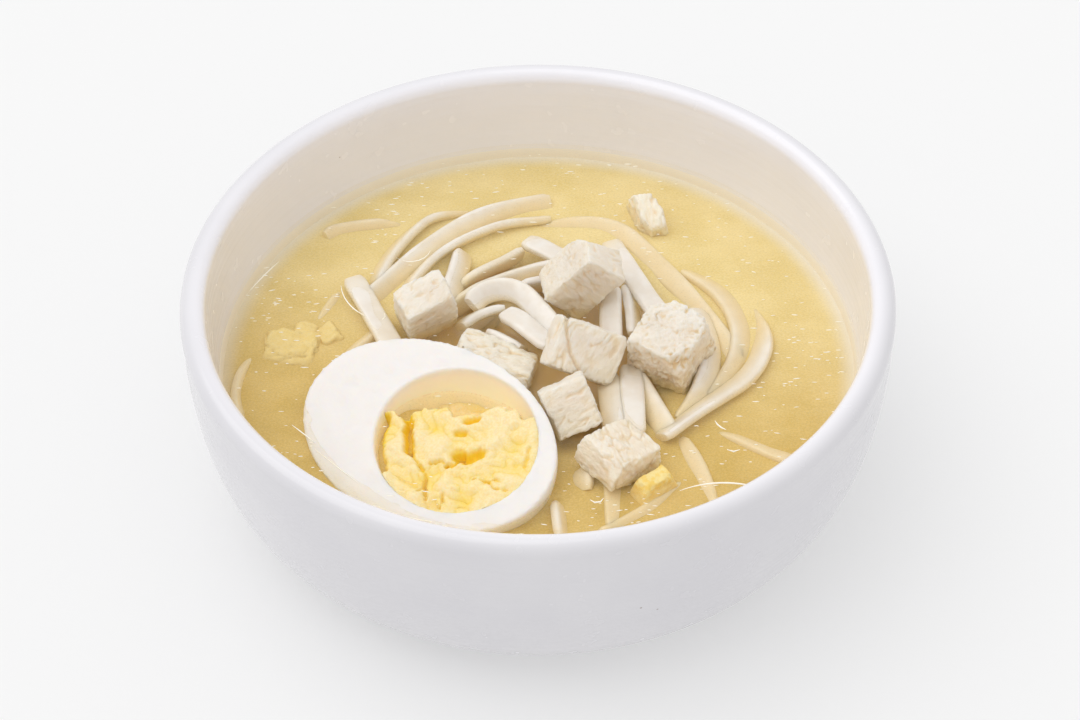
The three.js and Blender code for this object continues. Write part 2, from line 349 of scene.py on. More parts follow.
def sliced(shape, point, direction):
    """Cuts off what lies beyond a plane, and closes the cut."""
    everything = shape.verts[:] + shape.edges[:] + shape.faces[:]
    bmesh.ops.bisect_plane(
        shape, geom=everything, plane_co=point, plane_no=direction, clear_outer=True
    )
    bmesh.ops.holes_fill(shape, edges=[e for e in shape.edges if e.is_boundary])


print("shapes can be remeshed evenly, combined and sliced")


# %% Numbers that make a surface uneven
def step(low, high, value):
    """0 below low, 1 above high, and a smooth slope between."""
    part = min(max((value - low) / (high - low), 0), 1)
    return part * part * (3 - 2 * part)


def ripple(x, y, z, wave, seed):
    """A smooth uneven value between -1 and 1 at a point, different for each seed."""
    a = math.sin((x * 1.3 + y * 0.7) / wave + seed * 1.7)
    b = math.sin((y * 1.1 - z * 0.9) / wave + seed * 2.9)
    c = math.sin((z * 1.2 + x * 0.6 - y * 0.4) / wave + seed * 4.3)
    return (a + b + c) / 3


def store(shape, name, values):
    """Keeps one number for each vertex, for a finish to read."""
    layer = shape.verts.layers.float.new(name)
    for vertex, value in zip(shape.verts, values):
        vertex[layer] = value


print("step at a quarter of the way:", step(0, 1, 0.25))

# %% [markdown]
# ## The bowl
#
# A thrown bowl is a half outline turned about its middle, so the outline is drawn as a chain
# of vertices and spun. A Screw modifier would turn it too, but spin leaves a plain mesh whose
# vertices can carry numbers. The wall is a rounded square curve: steep at the rim, then
# turning in low down. The rim is a round bead with a soft groove beneath it on the outside.

# %% The outline of the wall
INNER_SQUARENESS = (5, 3)
OUTER_SQUARENESS = (4.5, 2.7)


def side_curve(top_radius, base_radius, top, base, squareness, steps):
    """A quarter of a rounded square, from the top of the wall to its base."""
    line = []
    for i in range(steps + 1):
        t = i / steps * math.pi / 2
        radius = base_radius + (top_radius - base_radius) * math.cos(t) ** (2 / squareness[0])
        height = top - (top - base) * math.sin(t) ** (2 / squareness[1])
        line.append((radius, height))
    return line


def inner_wall():
    rim = RIM_RADIUS - WALL
    return side_curve(rim, FLOOR_RADIUS, BEAD_HEIGHT, FLOOR_HEIGHT, INNER_SQUARENESS, 44)


def inner_radius(height):
    """The bowl's inner radius at a height."""
    drop = (BEAD_HEIGHT - height) / (BEAD_HEIGHT - FLOOR_HEIGHT)
    sine = drop ** (INNER_SQUARENESS[1] / 2)
    spread = RIM_RADIUS - WALL - FLOOR_RADIUS
    return FLOOR_RADIUS + spread * math.sqrt(1 - sine * sine) ** (2 / INNER_SQUARENESS[0])


SHORE = inner_radius(LEVEL)
print("the broth meets the wall", round(SHORE, 1), "mm from the middle")


# %% Spin the outline
UNDERSIDE = 1.4
GROOVE_DOWN = 7.5
GROOVE_WIDTH = 1.8
GROOVE_DEPTH = 0.35


def spun(line, steps):
    """Turns a chain of radius and height about the bowl's axis."""
    shape = bmesh.new()
    verts = [shape.verts.new((radius, 0, height)) for radius, height in line]
    edges = [shape.edges.new(pair) for pair in zip(verts, verts[1:])]
    bmesh.ops.spin(
        shape, geom=verts + edges, cent=(0, 0, 0), axis=(0, 0, 1), dvec=(0, 0, 0),
        angle=2 * math.pi, steps=steps, use_merge=True,
    )
    bmesh.ops.remove_doubles(shape, verts=shape.verts, dist=1e-4)
    tidy(shape)
    return shape


ring = FOOT_RADIUS - FOOT_WIDTH
outline = [(0, UNDERSIDE), (ring - 0.9, UNDERSIDE), (ring - 0.5, 1.1), (ring - 0.1, 0.2)]
outline += [(ring + 0.3, 0), (FOOT_RADIUS - 0.9, 0), (FOOT_RADIUS - 0.45, 0.15)]
wall = side_curve(RIM_RADIUS, FOOT_RADIUS, BEAD_HEIGHT, 2, OUTER_SQUARENESS, 46)
for radius, height in reversed(wall):
    from_groove = (BOWL_HEIGHT - GROOVE_DOWN - height) / GROOVE_WIDTH
    outline.append((radius - GROOVE_DEPTH * math.exp(-from_groove * from_groove), height))
for i in range(1, 16):
    turn = i / 16 * math.pi
    reach = RIM_RADIUS - BEAD + BEAD * math.cos(turn)
    outline.append((reach, BEAD_HEIGHT + BEAD * math.sin(turn)))
outline += inner_wall() + [(0, FLOOR_HEIGHT)]
bowl_shape = spun(outline, 200)
print("outline of", len(outline), "points, turned in 200 steps")

# %% Mark the inside and the rim, which keep the white glaze; the outside gets painted shade
# 1 inside and on the rim, 0 outside and underneath, where the glaze gets painted shade
inside_and_rim = []
for vertex in bowl_shape.verts:
    radius, height = math.hypot(vertex.co.x, vertex.co.y), vertex.co.z
    reach = inner_radius(min(max(height, FLOOR_HEIGHT), BEAD_HEIGHT))
    past = 1 - step(reach + 0.1, reach + WALL, radius)
    inside_and_rim.append(past if height > FLOOR_HEIGHT - 0.1 else 0.0)
store(bowl_shape, "inside_and_rim", inside_and_rim)
print("glaze pools on", sum(value > 0.5 for value in inside_and_rim), "of", len(inside_and_rim), "points")

# %% [markdown]
# ## Glaze
#
# White stoneware glaze is even, glossy and slightly wavy. It is white inside and over the rim,
# and outside it is painted darker and greyer as painted shade, because the outer wall faces
# away from the light; a number on each vertex says which side it is on.
# Turning leaves fine rings on the wall, and iron in the clay comes through as a few tiny
# brown specks. A painted image would blur close up. Here the rings are noise squeezed along
# the height, and the specks are the small middles of Voronoi cells.

# %% White stoneware glaze
glaze = Finish("stoneware_glaze")
cells = {"Vector": glaze.place(), "Scale": 0.09, "Randomness": 1.0}
speck_distance = glaze.node("ShaderNodeTexVoronoi", {"feature": "F1"}, cells)
speck = (1 - speck_distance.between(0.016, 0.03)) * glaze.grain(14).between(0.5, 0.56)
clouds = glaze.grain(22, 3).between(0.3, 0.7)
thick = glaze.blend(clouds, (0.90, 0.885, 0.925, 1), (0.92, 0.905, 0.945, 1))
# painted shade: the outside glaze is a darker, greyer copy of the inside one
thin = glaze.blend(clouds, (0.69, 0.68, 0.71, 1), (0.72, 0.71, 0.735, 1))
white = glaze.blend(glaze.attribute("inside_and_rim"), thin, thick)
glaze_colour = glaze.blend(speck * 0.75, white, (0.26, 0.19, 0.15, 1))
rings = glaze.grain(1.6, 2, stretch=(40, 40, 1))
waves = glaze.grain(9, 1)
glaze_bump = glaze.bump(rings * 0.5 + waves * 0.5, 0.22)
glaze_shader = glaze.body(
    Base_Color=glaze_colour, Roughness=glaze.grain(5).between(0.2, 0.9) * 0.1 + 0.2,
    Normal=glaze_bump, Coat_Weight=0.35, Coat_Roughness=0.08,
)
make_piece("stoneware_bowl", bowl_shape, [glaze.done(glaze_shader)], "bowl")

# %% [markdown]
# ## What broth does to food
#
# The broth is cloudy with fine fat and starch, so a thing fades into gold as it goes deeper
# and is gone about a spoon's depth down. A volume shader would do that by itself, but it is
# slow and an exported model loses it. Each food finish therefore mixes its colour with the
# broth's gold by how far the point lies under the level, and then with a darker amber further
# down: partly the deeper broth's colour, partly painted shade in the deep gaps between food.
# The surface itself can then be nearly clear.

# %% Fading into the broth
DEEP_GOLD = (0.88, 0.67, 0.29, 1)
# partly painted shade: amber is the deep broth's colour and also the shade in gaps between food
AMBER_AND_GAP_SHADE = (0.60, 0.32, 0.05, 1)


def soaked(finish, colour, half, level=LEVEL):
    """The colour as it shows through the broth, half faded at half millimetres down."""
    depth = (level - finish.along(2)).at_least(0)
    seen = 0.5 ** (depth * (1 / half))
    broth_gold_and_gap_shade = finish.blend(depth.between(2.2, 7.0), DEEP_GOLD, AMBER_AND_GAP_SHADE)
    return finish.blend(1 - seen, colour, broth_gold_and_gap_shade)


print("food fades to", DEEP_GOLD[:3], "and then to", AMBER_AND_GAP_SHADE[:3])

# %% [markdown]
# ## Half an egg
#
# A boiled egg cut lengthwise shows a flat face and a round hollow. An outline could be spun
# for the outside, but the hollow is off its middle, so the white is half of an ellipsoid
# with a smaller one taken out of it. After the cut it is remeshed evenly, which also rounds
# the lip a little, and the knife's drag is pushed into the flat face as shallow dimples. The
# smooth white holds the broth back, so over its face the broth stands FACE_DIP lower.

# %% The egg's place and its two ellipsoids
EGG_PLACE = (
    Matrix.Translation((-23, -26.6, 31.5))
    @ Matrix.Rotation(math.radians(-40), 4, "Z")
    @ Matrix.Rotation(math.radians(12), 4, "X")
)
EGG_SIZE = (60, 43.4, 43.4)
YOLK_SIZE = (36.8, 33.5, 34)
YOLK_AT = Vector((5.9, 2, 0))
YOLK_TURN = math.radians(-19)
FACE_DIP = 1.3


def ellipsoid(size, grow=0.0):
    """An egg-shaped ball whose poles lie along X."""
    shape = bmesh.new()
    bmesh.ops.create_uvsphere(shape, u_segments=72, v_segments=36, radius=1)
    bmesh.ops.rotate(shape, verts=shape.verts, matrix=Matrix.Rotation(math.pi / 2, 3, "Y"))
    halves = [side / 2 + grow for side in size]
    bmesh.ops.scale(shape, vec=halves, verts=shape.verts)
    return shape


def yolk_ball(grow):
    """The ball that the whole yolk fills, in its place in the egg."""
    shape = ellipsoid(YOLK_SIZE, grow)
    bmesh.ops.rotate(shape, verts=shape.verts, matrix=Matrix.Rotation(YOLK_TURN, 3, "Z"))
    bmesh.ops.translate(shape, verts=shape.verts, vec=YOLK_AT)
    return shape


def in_hollow(point):
    """How far out a point is from the middle of the hollow: 1 is on its wall."""
    away = Matrix.Rotation(-YOLK_TURN, 3, "Z") @ (point - YOLK_AT)
    return Vector([2 * a / side for a, side in zip(away, YOLK_SIZE)]).length


print("egg", EGG_SIZE, "mm with a hollow of", YOLK_SIZE, "mm")

# %% Cut the egg, hollow it and give it its skin
egg = ellipsoid(EGG_SIZE)
sliced(egg, (0, 0, 0), (0, 0, 1))
egg = evenly(combined(egg, yolk_ball(0), "DIFFERENCE"), 0.5, 3)
egg.normal_update()
for vertex in egg.verts:
    p = vertex.co
    if vertex.normal.z > 0.8 and p.z > -1 and in_hollow(p) > 1.05:
        drag = noise.noise(Vector((p.x / 2.2, p.y / 1.1, 3)))
        dents = max(0, noise.noise(Vector((p.x / 3.5, p.y / 2.2, 9))))
        p.z += 0.08 * drag - 0.3 * dents
print("egg white:", len(egg.verts), "points")

# %% [markdown]
# The hollow is stained by the yolk that lay in it. A number on each vertex says how much,
# from none at the lip to full at the bottom, and the finish turns it into a warm yellow.
# Boiled white is also translucent, so light from behind warms the thin wall of the hollow.
# Subsurface light alone is weak there, and a trace of emission, a painted glow, stands in for
# the rest and lifts the hollow's wall out of its shade.

# %% Stain the hollow, and put the egg in its place
stains = []
for vertex in egg.verts:
    inside = in_hollow(vertex.co) < 1.06 and vertex.co.z < -0.3
    stains.append(step(-1, 7, -vertex.co.z) if inside else 0.0)
store(egg, "stain_and_glow", stains)
bmesh.ops.transform(egg, matrix=EGG_PLACE, verts=egg.verts)
tidy(egg)
print("stained:", sum(value > 0 for value in stains), "points")

# %% The finish of the white
albumen = Finish("boiled_egg_white")
plain = albumen.blend(albumen.grain(4, 3), (0.825, 0.795, 0.77, 1), (0.85, 0.83, 0.82, 1))
stained = albumen.blend(albumen.attribute("stain_and_glow"), plain, (1.0, 0.91, 0.72, 1))
# painted glow: where the yolk stain lies, a trace of emission lights the shaded hollow wall
through = albumen.attribute("stain_and_glow").between(-0.25, 0.5)
albumen_shader = albumen.body(
    Base_Color=soaked(albumen, stained, 4.4, LEVEL - FACE_DIP), Roughness=0.32,
    Normal=albumen.bump(albumen.grain(0.9, 2), 0.055),
    Subsurface_Weight=0.6, Subsurface_Radius=(1.0, 0.8, 0.55), Subsurface_Scale=0.004,
    Emission_Color=albumen.blend(through, (0, 0, 0, 1), (1.0, 0.74, 0.34, 1)),
    Emission_Strength=0.115,
)
egg_tree = BVHTree.FromBMesh(egg)
make_piece("egg_white_half", egg, [albumen.done(albumen_shader)], "egg_white")

# %% [markdown]
# ## The broken yolk
#
# A hard yolk is dry and crumbly, and this one has lost its back part. It could be sculpted,
# but a height map can be changed number by number: lumps made from noise, cracks that
# follow short chains of points, and a step down where the lost part was. The height map
# becomes the top of a block, and the ball of the yolk cuts it.

# %% Cracks and pits, each a chain of points with a width and a depth
CRACKS = [
    ([(-6.7, 1), (-5.5, 0), (-4, -2), (-2.4, -3.5), (-0.9, -5.2)], 0.85, 3.4),
    ([(-0.9, -5.2), (3, -6.8), (5.8, -7.7), (7.2, -9.8), (9.6, -12.3)], 0.36, 1.1),
    ([(7.4, -10), (6.8, -12.7)], 0.26, 0.8),
    ([(8.6, -0.4), (10.7, 0.1), (12, 2.3)], 1.2, 2.9),
    ([(8, -4), (9.6, -2.7), (9, 0.5)], 0.4, 1.2),
    ([(4.7, 3.6), (5.9, 4.5)], 0.65, 1.5),
    ([(4.6, 7), (6.2, 8.8)], 0.7, 1.7),
    ([(4.9, -5.2), (6.6, -3.4), (8.4, -3.7)], 0.28, 0.9),
    ([(14.8, -3), (17.9, -2), (20, -2.7), (22.6, -1.3)], 0.26, 0.8),
    ([(18, -1.7), (18.6, -0.8), (20, -0.6)], 0.24, 0.6),
    ([(12, -9.5), (13, -10.9), (13.3, -12.3)], 0.26, 0.8),
    ([(19.8, 9.2), (21.7, 5.4)], 0.4, 0.7),
    ([(-11, -2), (-9.4, -6), (-6.6, -9.4), (-3, -12)], 1.1, 4.5),
]


def from_line(x, y, line):
    """Distance on the plan from a point to a chain of points."""
    here = Vector((x, y))
    nearest = 99.0
    for a, b in zip(line, line[1:]):
        start, run = Vector(a), Vector(b) - Vector(a)
        part = min(max((here - start).dot(run) / run.length_squared, 0), 1)
        nearest = min(nearest, (here - start - run * part).length)
    return nearest


def cracks_at(x, y):
    """How deep all the cracks together go at a point. Their sides wander a little."""
    wander = 0.35 * noise.noise(Vector((x / 0.8, y / 0.8, 5)))
    total = 0.0
    for line, width, depth in CRACKS:
        away = (from_line(x, y, line) + wander) / width
        if away < 3:
            total += depth * math.exp(-max(away, 0) ** 2)
    return total


print(len(CRACKS), "cracks and pits")

# %% The height of the yolk's top
LOST_DEPTH = 8
BLOCK_HEIGHT = 24


def yolk_height(x, y):
    """Height over the cut face, and how deep in a crack or pit the point is."""
    pits = cracks_at(x, y)
    lump = 0.5 * ripple(x, y, 0, 2.4, 3) + 1.0 * noise.noise(Vector((x / 4.8, y / 4.2, 6)))
    folds = noise.noise(Vector((x / 2.9, y / 2.3, 1)))
    clods = 0.7 * abs(folds) - 0.2
    between = math.exp(-(folds / 0.04) ** 2) * step(-0.1, 0.25, -lump)
    crumbs = 0.07 * noise.noise(Vector((x / 0.9, y / 0.9, 2)))
    crumbs += 0.035 * noise.noise(Vector((x / 0.4, y / 0.4, 4)))
    ragged = 0.7 * noise.noise(Vector((x / 1.2, y / 1.2, 8)))
    past = y - 0.62 * x - 7.2 + 1.4 * math.sin(x * 0.55) + 0.6 * math.sin(x * 1.4) + ragged
    edge = LOST_DEPTH * step(-0.3, 1.1, past)
    height = -0.7 + lump + clods + crumbs - 0.15 * between - pits - edge
    return height, pits + 0.4 * between - (lump + clods) * 0.7


yolk = bmesh.new()
bmesh.ops.create_grid(yolk, x_segments=180, y_segments=180, size=19)
bottom = bmesh.ops.extrude_face_region(yolk, geom=yolk.faces[:])
bottom_verts = [v for v in bottom["geom"] if isinstance(v, bmesh.types.BMVert)]
bmesh.ops.translate(yolk, verts=bottom_verts, vec=(0, 0, -BLOCK_HEIGHT))
bmesh.ops.translate(yolk, verts=yolk.verts, vec=YOLK_AT)
for vertex in yolk.verts:
    if vertex.co.z > -BLOCK_HEIGHT / 2:
        vertex.co.z = min(-0.1, yolk_height(vertex.co.x, vertex.co.y)[0])
bmesh.ops.recalc_face_normals(yolk, faces=yolk.faces)
yolk = combined(yolk, yolk_ball(0.04), "INTERSECT")
print("yolk:", len(yolk.verts), "points")

# %% [markdown]
# Dry yolk is pale where it has crumbled. Its cracks and the low valleys between its lumps are
# a deeper orange: partly the yolk's own colour under the crumbs, partly painted shade and warm
# light bounced in the creases. That could be painted on, but the height map knows how deep
# each point lies, so the number is kept on the vertices for the finish to read. The finest
# crumbs are a bump.

# %% The finish of the yolk
store(yolk, "pit", [yolk_height(v.co.x, v.co.y)[1] for v in yolk.verts])
bmesh.ops.transform(yolk, matrix=EGG_PLACE, verts=yolk.verts)
tidy(yolk)
dry = Finish("crumbly_yolk")
dust = dry.grain(0.5, 3).between(0.35, 0.65)
crumbs = dry.blend(dust, (0.96, 0.75, 0.37, 1), (0.965, 0.81, 0.50, 1))
# partly painted shade: cracks and low valleys turn a deeper orange, also the yolk's own colour
crack_orange_and_shade = dry.attribute("pit").between(-0.5, 1.5)
dry_shader = dry.body(
    Base_Color=dry.blend(crack_orange_and_shade, crumbs, (0.97, 0.68, 0.05, 1)), Roughness=0.6,
    Normal=dry.bump(dry.grain(0.35, 4), 0.07),
    Subsurface_Weight=0.3, Subsurface_Radius=(1.0, 0.7, 0.3), Subsurface_Scale=0.0015,
)
make_piece("egg_yolk_broken", yolk, [dry.done(dry_shader)], "egg_yolk")

# %% [markdown]
# ## Chicken
#
# Boiled breast is cut into chunks with flat knife faces, then roughened by its fibres. Each
# chunk starts as a cube that is cut fine, squeezed towards its top and trimmed by planes.
# After an even remesh, noise that is long along the fibres makes bundles, splits and pits.
# Sculpting would do it too, but chunk by chunk.

# %% The chunks: middle, size, turns about Z, Y and X, taper, knife cuts and fibre direction
CHICKEN = [
    ((-24.5, 10.2, 32.6), (12.4, 8.4, 12.5), (27, -11, 16), 0.04, [], (1, 0.2, 0.1)),
    ((-9.6, -4.4, 29.6), (18.6, 13, 6.2), (-16, 14, -19), 0.08,
     [((-0.8, -0.6, 0.2), 8.4)], (1, 0.3, 0)),
    ((9.7, 17.1, 35.4), (16.2, 10.2, 10.8), (1, -49, 5), 0.02,
     [((0.72, 0.66, 0.2), 7.2)], (0.2, 0.1, 1)),
    ((9.8, -5.4, 34.2), (16.4, 11.6, 6.6), (-1, 25, 50), 0.05,
     [((0.8, -0.6, 0), 8.4), ((0.75, 0.66, 0), 8.8)], (0.2, 1, 0)),
    ((6.6, -19.6, 31.6), (10.6, 11.6, 8.6), (19, -15, 46), 0.04, [], (1, 0.2, 0.2)),
    ((16.6, -32.2, 30.6), (14.2, 12.4, 6.8), (40, 12, 4), 0.1,
     [((-0.7, -0.3, 0.64), 6.3)], (0.3, 1, 0)),
    ((28.2, -3.4, 34), (15, 14.6, 13), (-32, 5, 16), 0.1,
     [((-0.6, 0.7, 0.3), 8.2), ((0.7, -0.5, 0.5), 8.4), ((0.8, 0.6, 0.2), 8.6)], (0.3, 0.5, 1)),
    ((25.6, 44.4, 27.6), (7.4, 13.6, 7.8), (14, 0, 18), 0.3,
     [((0.8, 0.55, 0.1), 3.9), ((-0.8, -0.5, 0.2), 3.7)], (0.1, 1, 0.1)),
]
CRUMB = ((23.6, -38.8, 28.4), (10, 5.4, 4.6), (38, 0, 0), 0.35, [], (1, 0, 0))
ROUGH = [0.9, 1.6, 0.9, 1.0, 1.1, 1.2, 1.8, 1.5]
# painted shade: share of brown low on chunks 6 and 7, which sit in shade
LOW_BROWN_SHADE = [0, 0, 0, 0, 0, 0.2, 0.6, 0]
CRACK = [(6.2, 1.5), (6.4, -2.2), (5.9, -5.3), (6.7, -8.6), (8.8, -10.8)]
print(len(CHICKEN), "chunks of chicken")


# %% A block as the knife left it
ROUNDING = 0.02
WAVY = 0.3


def turned(turn, at=(0, 0, 0)):
    yaw, pitch, roll = [math.radians(angle) for angle in turn]
    spin = Matrix.Rotation(yaw, 4, "Z") @ Matrix.Rotation(pitch, 4, "Y")
    return Matrix.Translation(at) @ spin @ Matrix.Rotation(roll, 4, "X")


def chunk(size, taper, cuts, seed):
    """A block about its own middle, with its edges pulled in and its corners cut off."""
    shape = bmesh.new()
    bmesh.ops.create_cube(shape, size=2)
    bmesh.ops.subdivide_edges(shape, edges=shape.edges[:], cuts=7, use_grid_fill=True)
    for vertex in shape.verts:
        x, y, z = vertex.co
        edges = x * x * y * y + y * y * z * z + z * z * x * x
        pull = 1 - ROUNDING * edges
        narrow = 1 - taper * (z + 1) / 2
        rough = WAVY * ripple(x * size[0], y * size[1], z * size[2], 3.6, seed)
        vertex.co.x = x * (pull * narrow * size[0] / 2 + rough)
        vertex.co.y = y * (pull * narrow * size[1] / 2 + rough)
        vertex.co.z = z * (pull * size[2] / 2 + rough)
    for direction, keep in cuts:
        side = Vector(direction).normalized()
        sliced(shape, side * keep, side)
    return shape


print("edges pulled in by", ROUNDING, "and faces wavy by", WAVY, "mm")


# %% The relief of the meat
def meat_relief(p, grain, seed):
    """How far the surface stands out at a point, in millimetres."""
    off = Vector((seed * 3.7, seed * 1.3, seed * 2.1))
    along = p.dot(grain)
    stretched = p - grain * (along * 0.62)
    bundles = noise.noise(stretched / 0.8 + off)
    threads = noise.noise(stretched / 0.45 + off)
    lumps = noise.noise(p / 2.2 + off)
    split = max(0, noise.noise(stretched / 1.3 + off * 2) - 0.3)
    pits = max(0, noise.noise(p / 0.9 + off) - 0.36)
    folds = noise.noise(stretched / 1.7 + off * 3) / 0.08
    wrinkle = math.exp(-folds * folds) * step(-0.05, 0.25, noise.noise(p / 3.4 + off))
    rise = 0.13 * bundles + 0.14 * threads + 0.18 * lumps
    return rise - 0.8 * split - 0.25 * pits - 0.32 * wrinkle


def meat(record, seed, rough, size=0.29, crack=()):
    """A rough piece in its place, with a crack along a chain of points if one is given."""
    at, sides, turn, taper, cuts, grain = record
    shape = evenly(chunk(sides, taper, cuts, seed), size, 1)
    shape.normal_update()
    fibres = Vector(grain).normalized()
    moves = [meat_relief(v.co, fibres, seed) for v in shape.verts]
    for vertex, move in zip(shape.verts, moves):
        vertex.co += vertex.normal * (rough * move)
    bmesh.ops.transform(shape, matrix=turned(turn, at), verts=shape.verts)
    tidy(shape)
    for number, vertex in enumerate(shape.verts):
        if crack and vertex.normal.z > 0.2:
            deep = math.exp(-(from_line(vertex.co.x, vertex.co.y, crack) / 0.35) ** 2)
            vertex.co.z -= 1.2 * deep
            moves[number] -= 0.5 * deep
    store(shape, "relief", moves)
    return shape


print("the roughest chunk has", max(ROUGH), "times the plain relief")

# %% [markdown]
# Cooked breast is cream white. Its hollows get a darker beige as painted shade, and its lower
# sides a lighter, warmer cream as painted light bounced up from the broth; two chunks also get
# painted brown shade low down. The relief that moved the surface is kept on the vertices, so
# the beige falls exactly there. The finest threads are a bump that follows the fibres.


# %% The finish of cooked chicken
def cooked(name, record, rough, brown_shade):
    """Cooked breast: painted shade in hollows, painted bounce light and brown shade low down."""
    finish = Finish(name)
    turn, grain = record[2], record[5]
    fibres = turned(turn).to_3x3() @ Vector(grain)
    along_fibres = fibres.to_track_quat("X", "Z").to_euler()
    # painted shade: hollows of the relief turn a darker beige
    hollow = 1 - finish.attribute("relief").between(-0.30, 0.02)
    tone = finish.grain(5, 2).between(0.35, 0.65)
    cream = finish.blend(tone, (0.875, 0.79, 0.675, 1), (0.895, 0.83, 0.735, 1))
    # painted light: the lower part turns a lighter, warmer cream, as light bounced from the
    # broth
    low = 1 - finish.along(2).between(LEVEL, LEVEL + 10)
    cream = finish.blend(low * 0.9, cream, (0.985, 0.865, 0.70, 1))
    # painted shade: brown patches low down, as much as the chunk's brown number says
    patches = finish.grain(1.6, 3).between(0.35, 0.6)
    cream = finish.blend(low * patches * brown_shade, cream, (0.62, 0.43, 0.22, 1))
    threads = finish.grain(0.35, 3, along_fibres, (2.4, 1, 1))
    colour = finish.blend(hollow * (0.4 * rough), cream, (0.84, 0.66, 0.38, 1))
    colour = finish.blend(threads.between(0.55, 0.75) * 0.3, colour, (0.84, 0.69, 0.48, 1))
    relief = finish.bump(threads * 0.7 + finish.grain(0.3, 3) * 0.3, 0.32)
    shader = finish.body(
        Base_Color=soaked(finish, colour, 1.8), Roughness=0.5, Normal=relief,
        Coat_Weight=0.2, Coat_Roughness=0.35,
        Subsurface_Weight=0.65, Subsurface_Radius=(1.0, 0.92, 0.8), Subsurface_Scale=0.003,
    )
    return finish.done(shader)


trees = [egg_tree]
for number, (record, rough, brown_shade) in enumerate(zip(CHICKEN, ROUGH, LOW_BROWN_SHADE), 1):
    shape = meat(record, number, rough, crack=CRACK if number == 4 else ())
    trees.append(BVHTree.FromBMesh(shape))
    finish = cooked(f"cooked_chicken_{number}", record, rough, brown_shade)
    make_piece(f"chicken_chunk_{number}", shape, [finish], f"chicken_{number}")

# %% [markdown]
# ## Yolk in the broth
#
# A crumb of yolk has fallen beside the chicken, and softer lumps of it have sunk at the far
# left. They could be sculpted, but the maker of chunks is at hand, and only the finish
# differs: soft yolk seen through broth. The lumps melt into the cloud, so their colour turns
# to its gold at CLOUD. The crumb lies higher, and leaves that height at 0.

# %% The crumb and the sunk lumps
SUNK_GOLD = (0.73, 0.545, 0.20, 1)


def wet_yolk(name, half, dark, pale, gone=0):
    """Soft yolk. Down at the height called gone it has turned to the broth's own gold."""
    finish = Finish(name)
    tone = finish.grain(1.2, 3).between(0.35, 0.65)
    colour = finish.blend(tone, dark, pale)
    here = finish.along(2).between(gone, gone + 0.7)
    colour = finish.blend(here, SUNK_GOLD, soaked(finish, colour, half))
    relief = finish.bump(finish.grain(0.5, 3), 0.15)
    shader = finish.body(Base_Color=colour, Roughness=0.7, Normal=relief)
    return finish.done(shader)


crumb = meat(CRUMB, 20, 0.8)
trees.append(BVHTree.FromBMesh(crumb))
fresh = wet_yolk("wet_yolk", 2.2, (0.93, 0.66, 0.16, 1), (0.95, 0.78, 0.34, 1))
make_piece("yolk_crumb_wet", crumb, [fresh], "yolk_crumb")
LUMPS = [
    ((-54, 3.4, 25.5), (17, 16, 4), (-8, 0, 8), 0.4, [], (1, 0, 0)),
    ((-51, 9.2, 25.5), (8.4, 9, 4), (-22, 6, 0), 0.5, [], (1, 0, 0)),
    ((-46, 8.2, 25.4), (8.4, 10, 4), (28, -6, 0), 0.5, [], (1, 0, 0)),
]
sunk = bmesh.new()
for number, record in enumerate(LUMPS):
    add_to(sunk, meat(record, 30 + number, 1.6, 0.5))
faded = wet_yolk("sunk_yolk", 2.6, (0.90, 0.72, 0.27, 1), (0.94, 0.79, 0.38, 1), CLOUD)
make_piece("sunk_yolk", sunk, [faded])

# %% [markdown]
# ## Noodles
#
# Flat wheat noodles are one thickness and width, so each is a line with the same section
# swept along it. Physics could drop them in a heap, but nobody could say where each ends up.
# Here a line starts at a place and a heading and bends along a few legs. Where a noodle
# looks narrow from above it is leaning on its edge, so its tilt follows from the width that
# shows. Ends mostly dive, so each has a rise for its start, middle and end.

